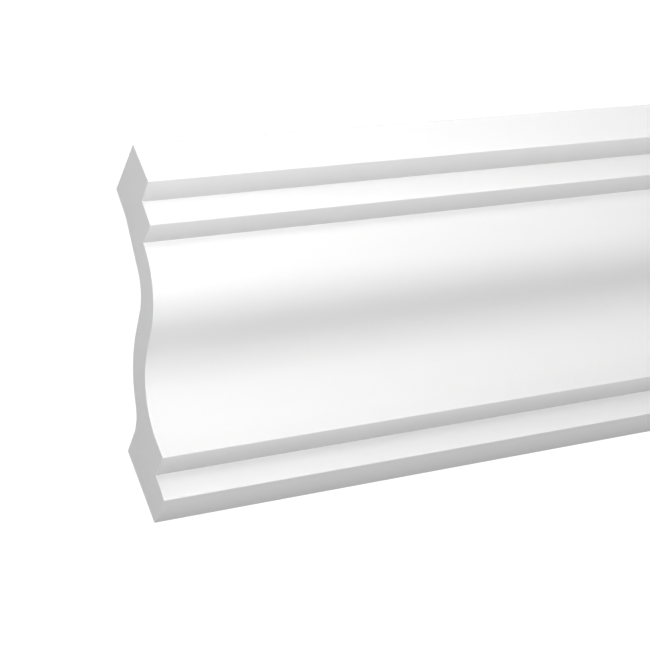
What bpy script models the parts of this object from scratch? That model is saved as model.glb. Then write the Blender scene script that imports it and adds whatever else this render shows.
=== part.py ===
"""A one-metre length of white crown moulding, cut square at both ends.

The length is moulded as one piece. Its front steps in twice under the ceiling, runs down an ogee
and steps in once more above the wall. Its hollow back follows the ogee at one wall thickness, with
a block behind the top that lies on the ceiling and a block at the foot that lies on the wall.

+X runs along the length, +Y points at the wall and +Z up. The origin is the middle of the flat
that lies on the wall. Metres throughout.
"""

import math

import bmesh
import bpy
from mathutils import Vector

# Overall size
LENGTH = 1.000
DROP = 0.105
PROJECTION = 0.100

# Flats that lie on the ceiling and on the wall
CEILING_FLAT = 0.0260
WALL_FLAT = 0.0330

# Front, from the ceiling down: fascia, soffit, band, soffit
FASCIA_HEIGHT = 0.0177
UPPER_SOFFIT_DEPTH = 0.0103
UPPER_SOFFIT_FALL = 0.0012
BAND_HEIGHT = 0.0103
BAND_LEAN = 0.0010
LOWER_SOFFIT_DEPTH = 0.0105

# Ogee: the lean of its top, the straight between its two arcs, and the straight at its foot
OGEE_TOP_LEAN = math.radians(4.0)
OGEE_MIDDLE_STRAIGHT = 0.0100
OGEE_FOOT_STRAIGHT = 0.0070

# Front below the ogee: soffit, foot band, underside
FOOT_SOFFIT_DEPTH = 0.0112
FOOT_SOFFIT_FALL = 0.0008
FOOT_BAND_HEIGHT = 0.0107
FOOT_BAND_LEAN = 0.0011
UNDERSIDE_DEPTH = 0.0154
UNDERSIDE_FALL = 0.0009

# Back
WALL_THICKNESS = 0.0116
CEILING_BLOCK_HEIGHT = 0.0124
CEILING_BLOCK_LEAN = 0.0012
WALL_BLOCK_DRAFT = math.radians(5.0)
WALL_BLOCK_FILLET = 0.0145

# Corners are eased, the outer ones a little more than the inner ones
ARRIS_RADIUS = 0.0005
QUIRK_RADIUS = 0.0003
ARRIS_SEGMENTS = 4
ARC_STEP = math.radians(3.0)

SHARP_ANGLE = math.radians(35.0)
PRIMER_WHITE = (0.86, 0.86, 0.85, 1.0)
PRIMER_ROUGHNESS = 0.55


def heading(angle):
    """Direction of a face in the section: straight down at 0, towards the wall at 90 degrees."""
    return Vector((math.sin(angle), -math.cos(angle)))


def inward(angle):
    """Square to heading(angle), on the side of the wall and the ceiling."""
    return Vector((math.cos(angle), math.sin(angle)))


def angle_of(vector):
    return math.atan2(vector.y, vector.x)


def arc(centre, reach, start, end):
    """Points centre + reach * inward(angle), with the angle going from start to end."""
    steps = max(2, math.ceil(abs(end - start) / ARC_STEP))
    return [centre + reach * inward(start + (end - start) * i / steps) for i in range(steps + 1)]


def eased_corner(before, corner, after, radius):
    """The arc of a radius that touches both sides of a corner."""
    to_before = (before - corner).normalized()
    to_after = (after - corner).normalized()
    half_angle = 0.5 * math.acos(to_before.dot(to_after))
    centre = corner + (to_before + to_after).normalized() * radius / math.sin(half_angle)
    touch = radius / math.tan(half_angle)
    start = corner + to_before * touch - centre
    end = corner + to_after * touch - centre
    sweep = math.pi - 2.0 * half_angle
    points = []
    for i in range(ARRIS_SEGMENTS + 1):
        share = i / ARRIS_SEGMENTS
        weight_start = math.sin((1.0 - share) * sweep) / math.sin(sweep)
        weight_end = math.sin(share * sweep) / math.sin(sweep)
        points.append(centre + start * weight_start + end * weight_end)
    return points


def ogee(top, foot):
    """Two equal arcs with a straight between them, from the top corner to the foot straight.

    The centres lie one radius inside the top and one radius outside the foot. Their distance is
    the long side of the right triangle on two radii and the straight, which gives the radius.
    """
    span = foot - top
    lean = inward(OGEE_TOP_LEAN) + inward(0.0)
    squared = 4.0 - lean.dot(lean)
    linear = span.dot(lean)
    reach = span.dot(span) - OGEE_MIDDLE_STRAIGHT ** 2
    radius = reach / (linear + math.sqrt(linear ** 2 + squared * reach))
    upper_centre = top + radius * inward(OGEE_TOP_LEAN)
    lower_centre = foot - radius * inward(0.0)
    slope = angle_of(upper_centre - lower_centre) - math.atan2(OGEE_MIDDLE_STRAIGHT, 2.0 * radius)
    return radius, upper_centre, lower_centre, slope


def section_outline():
    """The section as (y, z) points, down the front from the ceiling and back up behind."""
    ceiling = DROP - WALL_FLAT / 2
    underside = ceiling - DROP

    # Front corners, counted from the ceiling down to the ogee
    tip = Vector((-PROJECTION, ceiling))
    fascia_foot = tip - Vector((0.0, FASCIA_HEIGHT))
    band_top = fascia_foot + Vector((UPPER_SOFFIT_DEPTH, -UPPER_SOFFIT_FALL))
    band_foot = band_top + Vector((BAND_LEAN, -BAND_HEIGHT))
    ogee_top = band_foot + Vector((LOWER_SOFFIT_DEPTH, 0.0))

    # Front corners, counted from the wall up to the ogee
    wall_foot = Vector((0.0, underside))
    foot_band_foot = wall_foot + Vector((-UNDERSIDE_DEPTH, UNDERSIDE_FALL))
    foot_band_top = foot_band_foot + Vector((-FOOT_BAND_LEAN, FOOT_BAND_HEIGHT))
    ogee_foot = foot_band_top + Vector((-FOOT_SOFFIT_DEPTH, FOOT_SOFFIT_FALL))

    foot_straight_top = ogee_foot + Vector((0.0, OGEE_FOOT_STRAIGHT))
    radius, upper_centre, lower_centre, slope = ogee(ogee_top, foot_straight_top)
    front_upper = arc(upper_centre, -radius, OGEE_TOP_LEAN, slope)
    front_lower = arc(lower_centre, radius, slope, 0.0)

    # Wall block: its drafted top, and the fillet that joins it to the back of the lower arc
    block_heading = math.pi / 2 - WALL_BLOCK_DRAFT
    wall_block_top = Vector((0.0, underside + WALL_FLAT))
    back_reach = radius + WALL_THICKNESS
    fillet_line = wall_block_top + WALL_BLOCK_FILLET * inward(block_heading)
    to_lower_centre = lower_centre - fillet_line
    along = -to_lower_centre.dot(heading(block_heading))
    across = to_lower_centre.dot(inward(block_heading))
    flat_run = along - math.sqrt((back_reach + WALL_BLOCK_FILLET) ** 2 - across ** 2)
    fillet_centre = fillet_line - flat_run * heading(block_heading)
    fillet_start = angle_of(fillet_centre - lower_centre)
    fillet = arc(fillet_centre, -WALL_BLOCK_FILLET, fillet_start, block_heading)
    back_lower = arc(lower_centre, back_reach, slope, fillet_start)

    # Ceiling block: its leaning back, and the straight from there that touches the upper arc's back
    ceiling_back = tip + Vector((CEILING_FLAT, 0.0))
    block_foot = ceiling_back + Vector((CEILING_BLOCK_LEAN, -CEILING_BLOCK_HEIGHT))
    inner_radius = radius - WALL_THICKNESS
    to_upper_centre = upper_centre - block_foot
    tangent_length = math.sqrt(to_upper_centre.dot(to_upper_centre) - inner_radius ** 2)
    tangent = angle_of(to_upper_centre) + math.pi / 2 - math.atan2(inner_radius, tangent_length)
    back_upper = arc(upper_centre, -inner_radius, tangent, slope)

    corners_and_curves = [
        (tip, ARRIS_RADIUS),
        (fascia_foot, ARRIS_RADIUS),
        (band_top, QUIRK_RADIUS),
        (band_foot, ARRIS_RADIUS),
        (ogee_top, QUIRK_RADIUS),
        front_upper[1:] + front_lower,
        (ogee_foot, ARRIS_RADIUS),
        (foot_band_top, QUIRK_RADIUS),
        (foot_band_foot, ARRIS_RADIUS),
        (wall_foot, ARRIS_RADIUS),
        (wall_block_top, ARRIS_RADIUS),
        fillet[::-1] + back_lower[-2::-1] + back_upper[::-1],
        (block_foot, QUIRK_RADIUS),
        (ceiling_back, ARRIS_RADIUS),
    ]
    return walk(corners_and_curves)


def walk(corners_and_curves):
    """Strings the curves and the eased corners together into one closed outline."""
    outline = []
    for i, item in enumerate(corners_and_curves):
        if isinstance(item, list):
            outline += item
            continue
        corner, radius = item
        last = corners_and_curves[i - 1]
        following = corners_and_curves[(i + 1) % len(corners_and_curves)]
        before = last[-1] if isinstance(last, list) else last[0]
        after = following[0]
        outline += eased_corner(before, corner, after, radius)
    return outline


def primed_white():
    """Factory primer: white, matt, not metallic."""
    material = bpy.data.materials.new("primed_white")
    material.use_nodes = True
    shader = material.node_tree.nodes["Principled BSDF"]
    shader.inputs["Base Color"].default_value = PRIMER_WHITE
    shader.inputs["Roughness"].default_value = PRIMER_ROUGHNESS
    shader.inputs["Metallic"].default_value = 0.0
    return material


def crown_moulding():
    """The section drawn at one cut end and extruded to the other."""
    form = bmesh.new()
    corners = [form.verts.new((-LENGTH / 2, point.x, point.y)) for point in section_outline()]
    cut_end = form.faces.new(corners)
    run = bmesh.ops.extrude_face_region(form, geom=[cut_end])
    moved = [element for element in run["geom"] if isinstance(element, bmesh.types.BMVert)]
    bmesh.ops.translate(form, verts=moved, vec=(LENGTH, 0.0, 0.0))
    bmesh.ops.recalc_face_normals(form, faces=form.faces)
    mesh = bpy.data.meshes.new("crown_moulding")
    form.to_mesh(mesh)
    form.free()
    mesh.shade_smooth()
    mesh.set_sharp_from_angle(angle=SHARP_ANGLE)
    mesh.materials.append(primed_white())
    piece = bpy.data.objects.new("crown_moulding", mesh)
    bpy.context.scene.collection.objects.link(piece)
    return piece


for existing in list(bpy.data.objects):
    bpy.data.objects.remove(existing, do_unlink=True)

crown_moulding()
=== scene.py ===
"""Looks of a one-metre length of white crown moulding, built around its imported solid.

Metres, in the solid's own frame: +X along the length, +Y into the wall, +Z up to the ceiling, and
the origin in the middle of the flat that lies on the wall.
"""

import math

import bpy
import numpy as np
from mathutils import Matrix, Vector


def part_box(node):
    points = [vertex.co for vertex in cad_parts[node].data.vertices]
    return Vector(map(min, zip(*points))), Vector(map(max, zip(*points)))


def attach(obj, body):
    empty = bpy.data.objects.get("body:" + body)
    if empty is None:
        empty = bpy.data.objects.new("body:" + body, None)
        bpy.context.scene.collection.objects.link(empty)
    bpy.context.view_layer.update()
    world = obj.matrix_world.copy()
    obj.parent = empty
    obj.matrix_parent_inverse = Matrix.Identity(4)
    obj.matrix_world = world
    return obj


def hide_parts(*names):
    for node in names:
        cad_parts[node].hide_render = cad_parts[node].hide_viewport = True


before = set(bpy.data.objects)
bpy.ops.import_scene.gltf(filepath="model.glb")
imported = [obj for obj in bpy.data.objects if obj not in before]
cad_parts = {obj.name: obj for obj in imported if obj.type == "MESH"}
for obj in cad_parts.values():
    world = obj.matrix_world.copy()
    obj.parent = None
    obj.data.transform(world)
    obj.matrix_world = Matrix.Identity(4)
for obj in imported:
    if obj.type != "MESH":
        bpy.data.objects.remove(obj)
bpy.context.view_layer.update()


# The moulding is one casting of dense white foam, cut square at both ends and glued by its two
# flats into the angle of wall and ceiling. It has no pieces of its own: one section runs along the
# whole length, with fascia, bands, soffits and ogee in front and a hollow behind.

low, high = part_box("crown_moulding")
FRONT_Y = low.y
WALL_Y = high.y
CEILING_Z = high.z
LEFT_X = low.x
RIGHT_X = high.x

WALL_FLAT = 0.0330
CEILING_FLAT = 0.0260
FASCIA_HEIGHT = 0.0177
UPPER_SOFFIT = (0.0103, -0.0012)
BAND = (0.0010, -0.0103)
LOWER_SOFFIT = (0.0105, 0.0)
OGEE_TOP_LEAN = math.radians(4.0)
OGEE_MIDDLE_STRAIGHT = 0.0100
OGEE_FOOT_STRAIGHT = 0.0070
FOOT_SOFFIT = (0.0112, -0.0008)
FOOT_BAND = (0.0011, -0.0107)
UNDERSIDE = (0.0154, -0.0009)
WALL_THICKNESS = 0.0116
CEILING_BLOCK_BACK = (0.0012, -0.0124)
WALL_BLOCK_DRAFT = math.radians(5.0)
WALL_BLOCK_FILLET = 0.0145

ARRIS_RADIUS = 0.0005
FLAT_EDGE_RADIUS = 0.00025
QUIRK_RADIUS = 0.0001

EASED_POINTS = 9
STRAIGHT_POINTS = 14
SHORTEST_STRAIGHT = 0.0001
ARC_STEP = math.radians(1.0)

FACE, BACK, CUT = 0, 1, 2


def heading(angle):
    """Direction of a face in the section: straight down at 0, towards the wall at 90 degrees."""
    return np.stack([np.sin(angle), -np.cos(angle)], axis=-1)


def inward(angle):
    """Square to heading(angle), on the side of the wall and the ceiling."""
    return np.stack([np.cos(angle), np.sin(angle)], axis=-1)


def angle_of(vector):
    """Angle of a direction (y, z), from the way into the wall round to the way up."""
    return math.atan2(vector[1], vector[0])


def arc(centre, reach, start, end):
    """centre + reach * inward(a), with a going evenly from start to end, about a degree at a time."""
    count = max(3, math.ceil(abs(end - start) / ARC_STEP) + 1)
    return centre + reach * inward(np.linspace(start, end, count))


def straight(start, end):
    """start + share * (end - start), where share = (1 - cos(pi u)) / 2 crowds to both ends."""
    share = (1.0 - np.cos(np.linspace(0.0, math.pi, STRAIGHT_POINTS)[1:-1])) / 2.0
    return start + share[:, None] * (end - start)


def eased_corner(before, corner, after, radius):
    """The arc that touches both sides of a corner, by turning one touching radius into the other.

    Each point is centre + (start sin((1 - t) s) + end sin(t s)) / sin s, where s is the sweep.
    """
    to_before = (before - corner) / np.linalg.norm(before - corner)
    to_after = (after - corner) / np.linalg.norm(after - corner)
    half = 0.5 * math.acos(to_before @ to_after)
    middle = (to_before + to_after) / np.linalg.norm(to_before + to_after)
    centre = corner + middle * radius / math.sin(half)
    start = corner + to_before * radius / math.tan(half) - centre
    end = corner + to_after * radius / math.tan(half) - centre
    sweep = math.pi - 2.0 * half
    t = np.linspace(0.0, 1.0, EASED_POINTS)[:, None]
    return centre + (start * np.sin((1.0 - t) * sweep) + end * np.sin(t * sweep)) / math.sin(sweep)


def ogee(top, foot):
    """Radius, centres and middle slope of two equal arcs with a straight between them.

    The centres lie one radius inside the top and one radius outside the foot, as far apart as the
    long side of the right triangle on two radii and the straight.
    """
    span = foot - top
    lean = inward(OGEE_TOP_LEAN) + inward(0.0)
    reach = span @ span - OGEE_MIDDLE_STRAIGHT**2
    linear = span @ lean
    radius = reach / (linear + math.sqrt(linear**2 + (4.0 - lean @ lean) * reach))
    upper = top + radius * inward(OGEE_TOP_LEAN)
    lower = foot - radius * inward(0.0)
    slope = angle_of(upper - lower) - math.atan2(OGEE_MIDDLE_STRAIGHT, 2.0 * radius)
    return radius, upper, lower, slope


tip = np.array([FRONT_Y, CEILING_Z])
fascia_foot = tip - (0.0, FASCIA_HEIGHT)
band_top = fascia_foot + UPPER_SOFFIT
band_foot = band_top + BAND
ogee_top = band_foot + LOWER_SOFFIT
wall_foot = np.array([WALL_Y, -WALL_FLAT / 2])
foot_band_foot = wall_foot - UNDERSIDE
foot_band_top = foot_band_foot - FOOT_BAND
ogee_foot = foot_band_top - FOOT_SOFFIT
wall_block_top = np.array([WALL_Y, WALL_FLAT / 2])
ceiling_back = tip + (CEILING_FLAT, 0.0)
ceiling_block_foot = ceiling_back + CEILING_BLOCK_BACK
foot_straight_top = ogee_foot + (0.0, OGEE_FOOT_STRAIGHT)
ogee_radius, upper_centre, lower_centre, ogee_slope = ogee(ogee_top, foot_straight_top)


def section_front():
    """Corners as (point, radius) and curves as arrays, down the face from the tip to the wall."""
    return [
        (tip, FLAT_EDGE_RADIUS),
        (fascia_foot, ARRIS_RADIUS),
        (band_top, QUIRK_RADIUS),
        (band_foot, ARRIS_RADIUS),
        (ogee_top, QUIRK_RADIUS),
        arc(upper_centre, -ogee_radius, OGEE_TOP_LEAN, ogee_slope)[1:],
        arc(lower_centre, ogee_radius, ogee_slope, 0.0),
        (ogee_foot, ARRIS_RADIUS),
        (foot_band_top, QUIRK_RADIUS),
        (foot_band_foot, ARRIS_RADIUS),
        (wall_foot, FLAT_EDGE_RADIUS),
    ]


def section_back():
    """Corners and curves up behind, at one wall thickness from the ogee's two arcs.

    The lower arc runs into the wall block by the one fillet that touches both. The upper arc ends
    where a straight from the foot of the ceiling block touches it.
    """
    block = math.pi / 2 - WALL_BLOCK_DRAFT
    line = wall_block_top + WALL_BLOCK_FILLET * inward(block)
    reach = ogee_radius + WALL_THICKNESS
    gap = lower_centre - line
    flat = -gap @ heading(block)
    flat -= math.sqrt((reach + WALL_BLOCK_FILLET) ** 2 - (gap @ inward(block)) ** 2)
    fillet = line - flat * heading(block)
    turn = angle_of(fillet - lower_centre)
    inner = ogee_radius - WALL_THICKNESS
    to_centre = upper_centre - ceiling_block_foot
    tangent = angle_of(to_centre) + math.pi / 2
    tangent -= math.atan2(inner, math.sqrt(to_centre @ to_centre - inner**2))
    return [
        (wall_block_top, FLAT_EDGE_RADIUS),
        arc(fillet, -WALL_BLOCK_FILLET, block, turn),
        arc(lower_centre, reach, turn, ogee_slope)[1:],
        arc(upper_centre, -inner, ogee_slope, tangent),
        (ceiling_block_foot, QUIRK_RADIUS),
        (ceiling_back, FLAT_EDGE_RADIUS),
    ]


def ends_of(item):
    """First and last point of a curve. A corner is both."""
    return (item[0], item[-1]) if isinstance(item, np.ndarray) else (item[0], item[0])


def section():
    """The closed outline, and for each of its points whether it is of the face or of the back.

    Corners are eased, and every straight between them gets points that crowd to its ends.
    """
    front = section_front()
    items = front + section_back()
    runs, zones = [], []
    for i, item in enumerate(items):
        if isinstance(item, np.ndarray):
            run = item
        else:
            before = ends_of(items[i - 1])[1]
            after = ends_of(items[(i + 1) % len(items)])[0]
            run = eased_corner(before, item[0], after, item[1])
        if runs and np.linalg.norm(run[0] - runs[-1][-1]) > SHORTEST_STRAIGHT:
            runs.append(straight(runs[-1][-1], run[0]))
            zones.append(np.full(len(runs[-1]), zones[-1][-1]))
        runs.append(run)
        zones.append(np.full(len(run), FACE if i < len(front) else BACK))
    runs.append(straight(runs[-1][-1], runs[0][0]))
    zones.append(np.full(len(runs[-1]), BACK))
    return np.concatenate(runs), np.concatenate(zones)


def distance_to(corners, outline):
    """For each point of the outline, how far it is from the nearest of these corners."""
    return np.linalg.norm(outline[:, None] - corners[None], axis=2).min(axis=1)


# Primer: a thin matt white layer, sprayed over the skin of the face from in front. It ripples very
# faintly. Its colour also carries painted light and shade: a painted highlight at the arrises,
# painted shade greying the soffits into the quirks, soft bands of painted shade and painted light
# across the faces and the ogee, and a fine painted highlight line under two of the quirks.

ARRISES = np.array([fascia_foot, band_foot, ogee_foot, foot_band_foot])
QUIRKS = np.array([band_top, ogee_top, foot_band_top, wall_foot])
HIGHLIGHT_LINE_CORNERS = np.array([ogee_top, foot_band_top])
middle_of_ogee = (upper_centre + lower_centre) / 2.0
swell_of_ogee = (ogee_top + middle_of_ogee) / 2.0
middle_of_band = (band_top + band_foot) / 2.0
middle_of_foot_soffit = (ogee_foot + foot_band_top) / 2.0
middle_of_foot_band = (foot_band_top + foot_band_foot) / 2.0
middle_of_underside = (foot_band_foot + wall_foot) / 2.0
# Painted shade lies round the first of these sets of middles, painted light round the second.
SHADE_PAINTED_AROUND = np.array([middle_of_band, middle_of_ogee, middle_of_foot_soffit, middle_of_foot_band])
LIGHT_PAINTED_AROUND = np.array([swell_of_ogee, middle_of_underside])

# Sizes of the painted light and shade in the primer's colour: painted highlight at the arrises,
# painted shade in the quirks, soft painted bands, and the fine painted highlight line.
ARRIS_GAIN = 0.12
QUIRK_LOSS = 0.23
EDGE_REACH = 0.008
FACING_SHARE = 0.45
PAINTED_SHADE_LOSS = 0.045
PAINTED_SHADE_REACH = 0.0055
PAINTED_LIGHT_GAIN = 0.045
PAINTED_LIGHT_REACH = 0.009
HIGHLIGHT_LINE_GAIN = 0.20
HIGHLIGHT_LINE_REACH = 0.0011
MOST_GAIN = 0.20

# The primer's colour runs from a painted-shade grey to a painted-highlight white; the plain primer
# lies between them.
PRIMER_PAINTED_HIGHLIGHT = (0.881, 0.881, 0.881, 1.0)
PRIMER_PAINTED_SHADE = (0.566, 0.566, 0.566, 1.0)
ROUGHNESS_IN_PAINTED_SHADE = 0.58
SMOOTHING_IN_PAINTED_LIGHT = -0.12
STREAK_SHARE = 0.08
STREAKS_PER_METRE = 40.0
STREAK_SQUEEZE = (0.2, 1.0, 1.0)
FACE_RIPPLES_PER_METRE = 520.0
FACE_GRAIN_PER_METRE = 3600.0
GRAIN_SHARE = 0.125
PRIMER_RELIEF = 0.000012


def painted_shading_on(outline, into_body):
    """Painted light and shade at each point of the outline, from 0, darkest, to 1, lightest.

    A painted highlight gains at an arris and painted shade loses in a quirk and at the wall, each by
    exp(-d / reach). The upright faces change by a share of what the soffits under them do. It also
    paints a little shade round the middles of the band, the ogee, the foot soffit and the foot band,
    and a little light round the swell of the ogee and the middle of the underside, by
    exp(-(d / reach)^2), and a thin painted highlight line on the upright side of two quirks.
    """
    turned_down = np.clip(into_body[:, 1], 0.0, 1.0)
    gain = ARRIS_GAIN * np.exp(-distance_to(ARRISES, outline) / EDGE_REACH)
    gain -= QUIRK_LOSS * np.exp(-distance_to(QUIRKS, outline) / EDGE_REACH)
    gain *= FACING_SHARE + (1.0 - FACING_SHARE) * turned_down
    gain -= PAINTED_SHADE_LOSS * np.exp(-((distance_to(SHADE_PAINTED_AROUND, outline) / PAINTED_SHADE_REACH) ** 2))
    gain += PAINTED_LIGHT_GAIN * np.exp(-((distance_to(LIGHT_PAINTED_AROUND, outline) / PAINTED_LIGHT_REACH) ** 2))
    line = np.exp(-distance_to(HIGHLIGHT_LINE_CORNERS, outline) / HIGHLIGHT_LINE_REACH)
    gain += HIGHLIGHT_LINE_GAIN * line * (1.0 - turned_down)
    return (gain + QUIRK_LOSS) / (MOST_GAIN + QUIRK_LOSS)


def node(tree, kind, inputs, **settings):
    """A new node, with its settings, and each input either linked to a socket or given a value."""
    made = tree.nodes.new(kind)
    for name, value in settings.items():
        setattr(made, name, value)
    for name, value in inputs.items():
        if isinstance(value, bpy.types.NodeSocket):
            tree.links.new(value, made.inputs[name])
        else:
            made.inputs[name].default_value = value
    return made


def maths(tree, operation, first, second, third=0.0):
    """Result of one sum on numbers or sockets. MULTIPLY_ADD is first * second + third."""
    terms = {0: first, 1: second, 2: third}
    return node(tree, "ShaderNodeMath", terms, operation=operation).outputs[0]


def blend(tree, share, first, second):
    """The first colour where the share is 0, the second where it is 1.

    Inputs 6 and 7 and output 2 are the sockets of a Mix node that carry colours.
    """
    terms = {"Factor": share, 6: first, 7: second}
    return node(tree, "ShaderNodeMix", terms, data_type="RGBA").outputs[2]


def held(tree, name):
    """The number that the mesh holds at each vertex under this name."""
    return node(tree, "ShaderNodeAttribute", {}, attribute_name=name).outputs["Fac"]


def placed(tree):
    """Where the point is on the moulding, in metres."""
    return node(tree, "ShaderNodeTexCoord", {}).outputs["Object"]


def new_effect(name, inputs, output_names):
    """An empty node group that takes and gives plain numbers."""
    tree = bpy.data.node_groups.new(name, "ShaderNodeTree")
    for label in inputs:
        tree.interface.new_socket(label, in_out="INPUT", socket_type="NodeSocketFloat")
    for label in output_names:
        tree.interface.new_socket(label, in_out="OUTPUT", socket_type="NodeSocketFloat")
    given = tree.nodes.new("NodeGroupInput").outputs
    return tree, given, tree.nodes.new("NodeGroupOutput").inputs


def effect(tree, shared, inputs):
    """A node group placed in a material with that material's own values."""
    made = node(tree, "ShaderNodeGroup", {}, node_tree=shared)
    for name, value in inputs.items():
        if isinstance(value, bpy.types.NodeSocket):
            tree.links.new(value, made.inputs[name])
        else:
            made.inputs[name].default_value = value
    return made.outputs


def rippled_skin():
    """Height: broad ripples plus a share of a fine grain. Streaks: soft bands along the length."""
    sizes = ["Ripples per metre", "Grain per metre"]
    tree, given, result = new_effect("rippled_skin", sizes, ["Height", "Streaks"])
    place = placed(tree)
    broad = {"Vector": place, "Scale": given["Ripples per metre"], "Detail": 1.0}
    fine = {"Vector": place, "Scale": given["Grain per metre"], "Detail": 2.0}
    ripples = node(tree, "ShaderNodeTexNoise", broad).outputs["Fac"]
    grain = node(tree, "ShaderNodeTexNoise", fine).outputs["Fac"]
    height = maths(tree, "MULTIPLY_ADD", grain, GRAIN_SHARE, ripples)
    tree.links.new(height, result["Height"])
    drawn_out = {"Vector": place, "Scale": STREAK_SQUEEZE}
    along = node(tree, "ShaderNodeMapping", drawn_out).outputs[0]
    soft = {"Vector": along, "Scale": STREAKS_PER_METRE, "Detail": 3.0}
    tree.links.new(node(tree, "ShaderNodeTexNoise", soft).outputs["Fac"], result["Streaks"])
    return tree


def new_finish(name):
    """A material, its node tree and its shader."""
    material = bpy.data.materials.new(name)
    material.use_nodes = True
    return material, material.node_tree, material.node_tree.nodes["Principled BSDF"]


def surface(tree, shader, colour, roughness, height, relief):
    """Feeds the shader. A height of 1 stands out by the relief, in metres."""
    tree.links.new(colour, shader.inputs["Base Color"])
    tree.links.new(roughness, shader.inputs["Roughness"])
    bump = node(tree, "ShaderNodeBump", {"Height": height, "Distance": relief})
    tree.links.new(bump.outputs["Normal"], shader.inputs["Normal"])


RIPPLED_SKIN = rippled_skin()

primed_face, tree, shader = new_finish("primed_face")
ripples = {"Ripples per metre": FACE_RIPPLES_PER_METRE, "Grain per metre": FACE_GRAIN_PER_METRE}
coat_and_painted_shading = effect(tree, RIPPLED_SKIN, ripples)
# The primer's colour and roughness follow the painted light and shade held at each vertex, with
# random streaks on top.
thickness = maths(tree, "MULTIPLY_ADD", coat_and_painted_shading["Streaks"], STREAK_SHARE, held(tree, "coat_and_painted_shading"))
tone = blend(tree, thickness, PRIMER_PAINTED_SHADE, PRIMER_PAINTED_HIGHLIGHT)
dull = maths(tree, "MULTIPLY_ADD", thickness, SMOOTHING_IN_PAINTED_LIGHT, ROUGHNESS_IN_PAINTED_SHADE)
surface(tree, shader, tone, dull, coat_and_painted_shading["Height"], PRIMER_RELIEF)


# Back: the foam's own skin as it leaves the mould, with a few pinholes, and a little primer blown
# round the edges of the face. The two flats that take the adhesive are sanded true lengthways.

FACE_EDGES = np.array([tip, wall_foot])

SKIN_WHITE = (0.720, 0.717, 0.702, 1.0)
SKIN_SHADED = (0.625, 0.618, 0.592, 1.0)
SKIN_ROUGHNESS = 0.66
SKIN_STREAK_ROUGHNESS = 0.08
SKIN_RIPPLES_PER_METRE = 240.0
SKIN_GRAIN_PER_METRE = 2400.0
SKIN_RELIEF = 0.000035

PINHOLE_GREY = (0.450, 0.445, 0.430, 1.0)
PINHOLES_PER_METRE = 170.0
PINHOLE_SHARE = 0.07
PINHOLE_HEIGHT = -3.0

SANDED_WHITE = (0.745, 0.743, 0.733, 1.0)
SANDED_GREY = (0.665, 0.662, 0.650, 1.0)
SANDED_ROUGHNESS = 0.14
SANDED_LINES_PER_METRE = 900.0

OVERSPRAY_WHITE = (0.730, 0.730, 0.730, 1.0)
OVERSPRAY_FULL_TO = 0.007
OVERSPRAY_NONE_FROM = 0.013
OVERSPRAY_WAVER = 0.012


def fading(tree, value, start, end):
    """1 where the value is at start, easing to 0 where it is at end."""
    limits = {"Value": value, "From Min": start, "From Max": end, "To Min": 1.0, "To Max": 0.0}
    return node(tree, "ShaderNodeMapRange", limits, interpolation_type="SMOOTHSTEP").outputs[0]


def closed_cells():
    """1 in the middle of each cell, easing to 0 at a share of the distance between cells."""
    tree, given, result = new_effect("closed_cells", ["Cells per metre", "Share"], ["Cells"])
    spacing = {"Vector": placed(tree), "Scale": given["Cells per metre"]}
    distance = node(tree, "ShaderNodeTexVoronoi", spacing).outputs["Distance"]
    tree.links.new(fading(tree, distance, 0.0, given["Share"]), result["Cells"])
    return tree


def tool_lines():
    """Height of uneven lines left by a tool, as a noise that changes only across them."""
    tree, given, result = new_effect("tool_lines", ["Across", "Lines per metre"], ["Height"])
    step = maths(tree, "MULTIPLY", given["Across"], given["Lines per metre"])
    uneven = {"W": step, "Scale": 1.0, "Detail": 1.0}
    lines = node(tree, "ShaderNodeTexNoise", uneven, noise_dimensions="1D")
    tree.links.new(lines.outputs["Fac"], result["Height"])
    return tree


CLOSED_CELLS = closed_cells()
TOOL_LINES = tool_lines()

moulded_back, tree, shader = new_finish("moulded_back")
ripples = {"Ripples per metre": SKIN_RIPPLES_PER_METRE, "Grain per metre": SKIN_GRAIN_PER_METRE}
skin = effect(tree, RIPPLED_SKIN, ripples)
holes = {"Cells per metre": PINHOLES_PER_METRE, "Share": PINHOLE_SHARE}
pinholes = effect(tree, CLOSED_CELLS, holes)["Cells"]
side = node(tree, "ShaderNodeSeparateXYZ", {"Vector": placed(tree)}).outputs
across = maths(tree, "ADD", side["Y"], side["Z"])
lengthways = {"Across": across, "Lines per metre": SANDED_LINES_PER_METRE}
sanded = effect(tree, TOOL_LINES, lengthways)["Height"]
on_flat = held(tree, "on_flat")
edge = held(tree, "face_distance")
blown = maths(tree, "MULTIPLY_ADD", skin["Streaks"], OVERSPRAY_WAVER, edge)
primed = fading(tree, blown, OVERSPRAY_FULL_TO, OVERSPRAY_NONE_FROM)
tone = blend(tree, skin["Streaks"], SKIN_WHITE, SKIN_SHADED)
rubbed = blend(tree, sanded, SANDED_WHITE, SANDED_GREY)
tone = blend(tree, on_flat, tone, rubbed)
tone = blend(tree, primed, tone, OVERSPRAY_WHITE)
tone = blend(tree, pinholes, tone, PINHOLE_GREY)
dull = maths(tree, "MULTIPLY_ADD", on_flat, SANDED_ROUGHNESS, SKIN_ROUGHNESS)
dull = maths(tree, "MULTIPLY_ADD", skin["Streaks"], SKIN_STREAK_ROUGHNESS, dull)
relief = maths(tree, "MULTIPLY_ADD", on_flat, sanded, skin["Height"])
relief = maths(tree, "MULTIPLY_ADD", pinholes, PINHOLE_HEIGHT, relief)
surface(tree, shader, tone, dull, relief, SKIN_RELIEF)


# Cuts: each end is sawn square through the foam. Fine closed cells lie open, the blade has left
# faint arcs as it came down, and the skin shows as a closer, smoother line round the outline.

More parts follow.
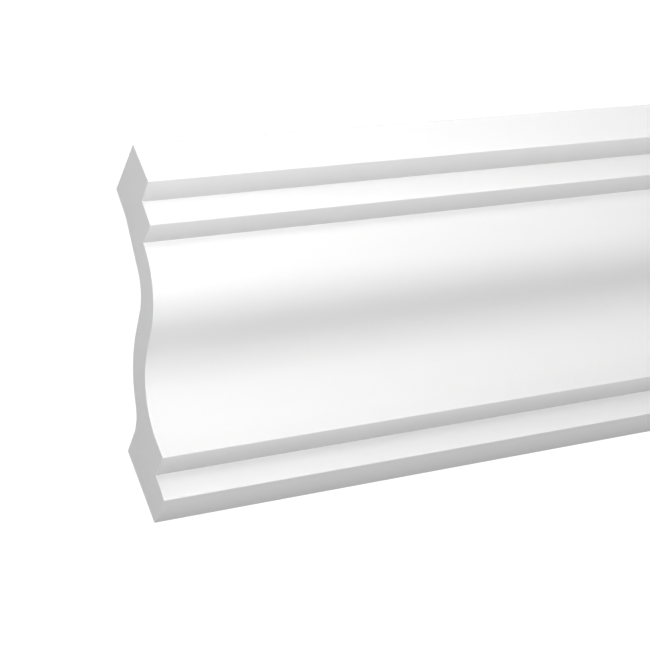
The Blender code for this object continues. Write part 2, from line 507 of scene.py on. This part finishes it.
CUT_WHITE = (0.747, 0.747, 0.747, 1.0)
CELL_GREY = (0.696, 0.696, 0.696, 1.0)
CELL_GREYING = 0.6
CELLS_PER_METRE = 4200.0
CELL_SHARE = 0.55
LARGE_CELLS_PER_METRE = 800.0
LARGE_CELL_SHARE = 0.16
CELL_HEIGHT = -1.0
CUT_ROUGHNESS = 0.78
CELL_ROUGHNESS = 0.12
CUT_RELIEF = 0.00006
BLADE_RADIUS = 0.127
BLADE_MIDDLE_Y = -0.050
BLADE_LINES_PER_METRE = 1100.0

saw_cut_foam, tree, shader = new_finish("saw_cut_foam")
fine = {"Cells per metre": CELLS_PER_METRE, "Share": CELL_SHARE}
coarse = {"Cells per metre": LARGE_CELLS_PER_METRE, "Share": LARGE_CELL_SHARE}
cells = effect(tree, CLOSED_CELLS, fine)["Cells"]
large = effect(tree, CLOSED_CELLS, coarse)["Cells"]
core = maths(tree, "SUBTRACT", 1.0, held(tree, "skin"))
open_cells = maths(tree, "MULTIPLY", maths(tree, "MAXIMUM", cells, large), core)
side = node(tree, "ShaderNodeSeparateXYZ", {"Vector": placed(tree)}).outputs
offset = maths(tree, "SUBTRACT", side["Y"], BLADE_MIDDLE_Y)
back_from_middle = maths(tree, "MULTIPLY", offset, -1.0)
rise_squared = maths(tree, "MULTIPLY_ADD", back_from_middle, offset, BLADE_RADIUS**2)
came_down = maths(tree, "ADD", side["Z"], maths(tree, "SQRT", rise_squared, 0.0))
strokes = {"Across": came_down, "Lines per metre": BLADE_LINES_PER_METRE}
arcs = effect(tree, TOOL_LINES, strokes)["Height"]
tone = blend(tree, maths(tree, "MULTIPLY", open_cells, CELL_GREYING), CUT_WHITE, CELL_GREY)
dull = maths(tree, "MULTIPLY_ADD", open_cells, CELL_ROUGHNESS, CUT_ROUGHNESS)
relief = maths(tree, "MULTIPLY_ADD", open_cells, CELL_HEIGHT, arcs)
surface(tree, shader, tone, dull, relief, CUT_RELIEF)


# The length: the section is carried from one cut to the other in one closed mesh, which stands for
# the whole solid. The saw leaves a tiny broken edge round each cut, and the closed skin is a thin
# line inside that edge.

SAW_BREAK = 0.00008
SKIN_DEPTH = 0.00014
STATIONS = 41
SHARP_ANGLE = math.radians(30.0)


def give(mesh, name, values):
    """Keep one number for each vertex under this name, for the materials to read."""
    mesh.attributes.new(name, "FLOAT", "POINT").data.foreach_set("value", values.ravel())


def moulded_length():
    """The section carried along x: vertex (k, i) is (x of ring k, y and z of outline point i).

    The two rings in each end's plane are the outline drawn in along its own normals, first by the
    broken edge of the cut, then by the depth of the skin, and one face closes the inner one.
    """
    outline, zone = section()
    along = np.roll(outline, -1, axis=0) - np.roll(outline, 1, axis=0)
    along /= np.linalg.norm(along, axis=1)[:, None]
    into_body = np.stack([-along[:, 1], along[:, 0]], axis=1)
    cut_edge = outline + SAW_BREAK * into_body
    core_edge = cut_edge + SKIN_DEPTH * into_body

    stations = np.linspace(LEFT_X + SAW_BREAK, RIGHT_X - SAW_BREAK, STATIONS)
    x = np.concatenate([[LEFT_X] * 2, stations, [RIGHT_X] * 2])
    yz = np.broadcast_to(outline, (len(x),) + outline.shape).copy()
    yz[[0, -1]] = core_edge
    yz[[1, -2]] = cut_edge
    places = np.dstack([np.broadcast_to(x[:, None], yz.shape[:2]), yz])

    ring = np.arange(len(outline))
    start = np.arange(len(x) - 1)[:, None] * len(outline)
    here, there = start + ring, start + np.roll(ring, -1)
    quads = np.dstack([here, there, there + len(outline), here + len(outline)])
    caps = [ring[::-1].tolist(), (start[-1] + len(outline) + ring).tolist()]
    mesh = bpy.data.meshes.new("crown_moulding_finished")
    mesh.from_pydata(places.reshape(-1, 3).tolist(), [], quads.reshape(-1, 4).tolist() + caps)

    zones = np.broadcast_to(zone, here.shape).copy()
    zones[[0, 1, -2, -1]] = CUT
    mesh.polygons.foreach_set("material_index", np.append(zones, [CUT, CUT]).astype(np.int32))
    on_flat = (places[..., 1] > WALL_Y - SAW_BREAK) | (places[..., 2] > CEILING_Z - SAW_BREAK)
    skin = np.ones(len(x))
    skin[[0, -1]] = 0.0
    # Painted light and shade of the primer at each point of the outline, the same all along.
    give(mesh, "coat_and_painted_shading", np.broadcast_to(painted_shading_on(outline, into_body), yz.shape[:2]))
    give(mesh, "face_distance", np.broadcast_to(distance_to(FACE_EDGES, outline), yz.shape[:2]))
    give(mesh, "on_flat", on_flat.astype(float))
    give(mesh, "skin", np.broadcast_to(skin[:, None], yz.shape[:2]))
    mesh.shade_smooth()
    mesh.set_sharp_from_angle(angle=SHARP_ANGLE)
    mesh.update()
    return mesh


mesh = moulded_length()
for finish in (primed_face, moulded_back, saw_cut_foam):
    mesh.materials.append(finish)
moulding = bpy.data.objects.new("crown_moulding_finished", mesh)
bpy.context.scene.collection.objects.link(moulding)
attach(moulding, "root")
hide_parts("crown_moulding")


# Floor: pale, plain and matt, well below the moulding, which hangs in the room as it is installed.
# It glows for the camera alone, so that it looks nearly as pale as the studio round it.

FLOOR_Z = -1.20
FLOOR_HALF_WIDTH = 30.0
FLOOR_WHITE = (0.85, 0.85, 0.85, 1.0)
FLOOR_ROUGHNESS = 0.8
FLOOR_GLOW = 0.62

corners = np.array([(-1, -1), (1, -1), (1, 1), (-1, 1)]) * FLOOR_HALF_WIDTH
floor_mesh = bpy.data.meshes.new("floor")
floor_mesh.from_pydata([(x, y, FLOOR_Z) for x, y in corners], [], [(0, 1, 2, 3)])
pale_floor, tree, shader = new_finish("pale_floor")
shader.inputs["Base Color"].default_value = FLOOR_WHITE
shader.inputs["Roughness"].default_value = FLOOR_ROUGHNESS
shader.inputs["Emission Color"].default_value = FLOOR_WHITE
looked_at = node(tree, "ShaderNodeLightPath", {}).outputs["Is Camera Ray"]
tree.links.new(maths(tree, "MULTIPLY", looked_at, FLOOR_GLOW), shader.inputs["Emission Strength"])
floor_mesh.materials.append(pale_floor)
floor = bpy.data.objects.new("floor", floor_mesh)
bpy.context.scene.collection.objects.link(floor)


# Camera: in the room and below the moulding, close to its left end, and rolled so that the
# diagonal of the section stands upright in the picture. The right end runs out of the picture.

CAMERA_PLACE = Vector((-0.76028, -0.58557, -0.30349))
CAMERA_FORWARD = Vector((0.46983, 0.74898, 0.46722))
CAMERA_UP = Vector((0.11892, -0.57815, 0.80722))
LENS = 100.41
SENSOR = 36.0
NEAREST_SEEN = 0.01

camera_data = bpy.data.cameras.new("camera")
camera_data.lens = LENS
camera_data.sensor_width = SENSOR
camera_data.clip_start = NEAREST_SEEN
camera = bpy.data.objects.new("camera", camera_data)
camera_right = CAMERA_FORWARD.cross(CAMERA_UP)
turned = Matrix((camera_right, CAMERA_UP, -CAMERA_FORWARD)).transposed()
camera.matrix_world = Matrix.Translation(CAMERA_PLACE) @ turned.to_4x4()
bpy.context.scene.collection.objects.link(camera)
bpy.context.scene.camera = camera


# Light: a white studio, bright to the eye and dimmer as a light, with round soft lamps. Three are
# near the left end in front, two are near the back, and the rest stand further off all round.

AT_END = Vector((-0.45, -0.05, 0.03))
AT_FACE = Vector((-0.28, -0.05, 0.03))
AT_LEFT = Vector((-0.38, -0.05, 0.03))
AT_MIDDLE = Vector((0.0, 0.0, 0.03))
AT_RIGHT = Vector((0.40, -0.05, 0.03))
AT_BACK_LEFT = Vector((-0.25, -0.03, 0.03))
AT_BACK_RIGHT = Vector((0.25, -0.03, 0.03))
STUDIO_WHITE = (1.0, 1.0, 1.0, 1.0)
STUDIO_LIGHT = 0.2
STUDIO_SEEN = 1.05


def soft_lamp(name, place, aim, size, power):
    """A round lamp that faces its aim and that the camera doesn't see. Metres and watts."""
    data = bpy.data.lights.new(name, "AREA")
    data.shape = "DISK"
    data.size = size
    data.energy = power
    lamp = bpy.data.objects.new(name, data)
    lamp.location = place
    lamp.rotation_euler = (aim - Vector(place)).to_track_quat("-Z", "Y").to_euler()
    lamp.visible_camera = False
    bpy.context.scene.collection.objects.link(lamp)


soft_lamp("near_end", (-0.69, -0.29, -0.06), AT_END, 0.20, 0.39)
soft_lamp("near_corner", (-0.51, -0.39, 0.09), AT_END, 0.20, 0.48)
soft_lamp("near_face", (-0.34, -0.39, 0.09), AT_FACE, 0.20, 0.24)
soft_lamp("beside_end", (-1.06, 0.07, 0.15), AT_LEFT, 0.35, 0.82)
soft_lamp("low_front", (-0.04, -0.99, -0.81), AT_LEFT, 0.70, 6.70)
soft_lamp("low_behind", (-1.24, 0.45, -0.81), AT_LEFT, 0.70, 2.70)
soft_lamp("high_front", (0.48, -0.55, 0.87), AT_LEFT, 0.70, 2.90)
soft_lamp("front_right", (0.42, -0.60, 0.02), AT_RIGHT, 0.40, 1.40)
soft_lamp("beside_right", (1.05, 0.02, 0.18), AT_RIGHT, 0.35, 1.80)
soft_lamp("high_behind", (-0.10, 0.80, 0.60), AT_MIDDLE, 0.80, 4.00)
soft_lamp("behind_left", (-0.30, 0.45, 0.30), AT_BACK_LEFT, 0.30, 1.20)
soft_lamp("behind_right", (0.30, 0.45, 0.30), AT_BACK_RIGHT, 0.30, 1.20)

studio = bpy.data.worlds.new("studio")
studio.use_nodes = True
tree = studio.node_tree
tree.nodes.clear()
lit = {"Color": STUDIO_WHITE, "Strength": STUDIO_LIGHT}
seen = {"Color": STUDIO_WHITE, "Strength": STUDIO_SEEN}
as_light = node(tree, "ShaderNodeBackground", lit).outputs[0]
to_the_eye = node(tree, "ShaderNodeBackground", seen).outputs[0]
looked_at = node(tree, "ShaderNodeLightPath", {}).outputs["Is Camera Ray"]
either = node(tree, "ShaderNodeMixShader", {0: looked_at, 1: as_light, 2: to_the_eye}).outputs[0]
node(tree, "ShaderNodeOutputWorld", {"Surface": either})
bpy.context.scene.world = studio
bpy.context.scene.view_settings.view_transform = "Standard"
